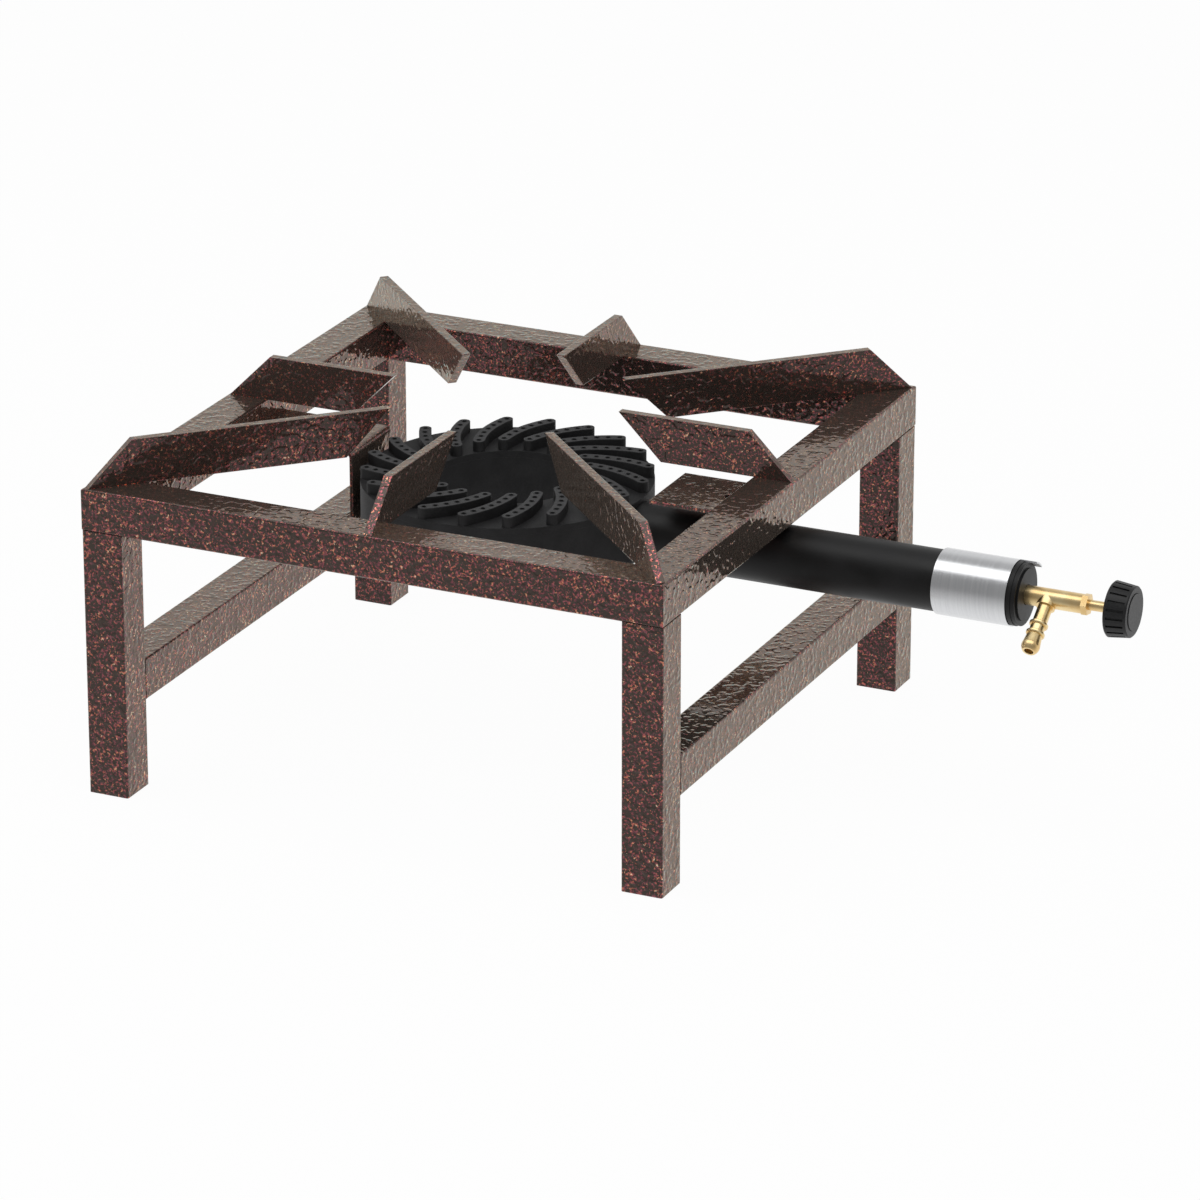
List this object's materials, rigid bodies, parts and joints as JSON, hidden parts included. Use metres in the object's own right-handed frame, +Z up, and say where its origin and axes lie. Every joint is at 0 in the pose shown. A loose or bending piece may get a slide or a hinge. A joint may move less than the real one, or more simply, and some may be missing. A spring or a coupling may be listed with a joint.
{
  "type": "square burner stove",
  "caption": "Square tube stove frame with raked pot rests around a cast ring burner; a mixing tube with a sliding air sleeve leads to a needle valve with hose barb and knob.",
  "frame": {"origin": "on the floor, under the middle of the whole stove from the left bar to the knob", "axes": "+X from the burner along the mixing tube to the knob, +Y to the back, +Z up"},
  "size_m": [0.566, 0.36, 0.2115],
  "materials": {
    "hammered_paint": "hammered brown paint with copper red flakes, half gloss",
    "cast_iron": "matte charcoal",
    "black_paint": "matte black",
    "aluminium": "turned bright",
    "brass": "satin turned",
    "knob_plastic": "satin black",
    "seal_rubber": "matte",
    "zinc_steel": "zinc plated"
  },
  "bodies": {
    "frame": {"top_bar_front": "hammered_paint", "top_bar_back": "hammered_paint", "top_bar_left": "hammered_paint", "top_bar_right": "hammered_paint", "leg_front_left": "hammered_paint", "leg_front_right": "hammered_paint", "leg_back_left": "hammered_paint", "leg_back_right": "hammered_paint", "side_rail_left": "hammered_paint", "side_rail_right": "hammered_paint", "pot_rest_front": "hammered_paint", "pot_rest_back": "hammered_paint", "pot_rest_left": "hammered_paint", "pot_rest_right": "hammered_paint", "pot_rest_front_left": "hammered_paint", "pot_rest_front_right": "hammered_paint", "pot_rest_back_left": "hammered_paint", "pot_rest_back_right": "hammered_paint", "burner_tab": "hammered_paint", "burner_bracket": "hammered_paint", "burner_body": "cast_iron", "burner_crown": "cast_iron", "mixing_tube": "black_paint", "end_disc": "black_paint", "valve_body": "brass", "valve_lock_nut": "brass", "gas_jet": "brass", "hose_barb": "brass", "gland_nut": "brass", "tab_screw": "zinc_steel", "bracket_bolt": "zinc_steel", "bracket_washer": "zinc_steel"},
    "air_sleeve": {"air_sleeve": "aluminium"},
    "seal": {"spindle_seal": "seal_rubber"},
    "knob": {"spindle": "brass", "knob": "knob_plastic", "knob_cap": "knob_plastic"}
  },
  "joints": [
    {"name": "air_slide", "type": "slide", "parent": "frame", "child": "air_sleeve", "axis": [-1, 0, 0], "range_m": [0, 0.009]},
    {"name": "spindle_lift", "type": "slide", "parent": "frame", "child": "seal", "axis": [1, 0, 0], "range_m": [0, 0.0025]},
    {"name": "knob_turn", "type": "hinge", "parent": "seal", "child": "knob", "pos_m": [0.26935, 0, 0.1398], "axis": [1, 0, 0], "range_deg": [0, 900]}
  ],
  "couplings": [
    {"joint": "spindle_lift", "follows": "knob_turn", "m_per_rad": 0.00015915}
  ]
}
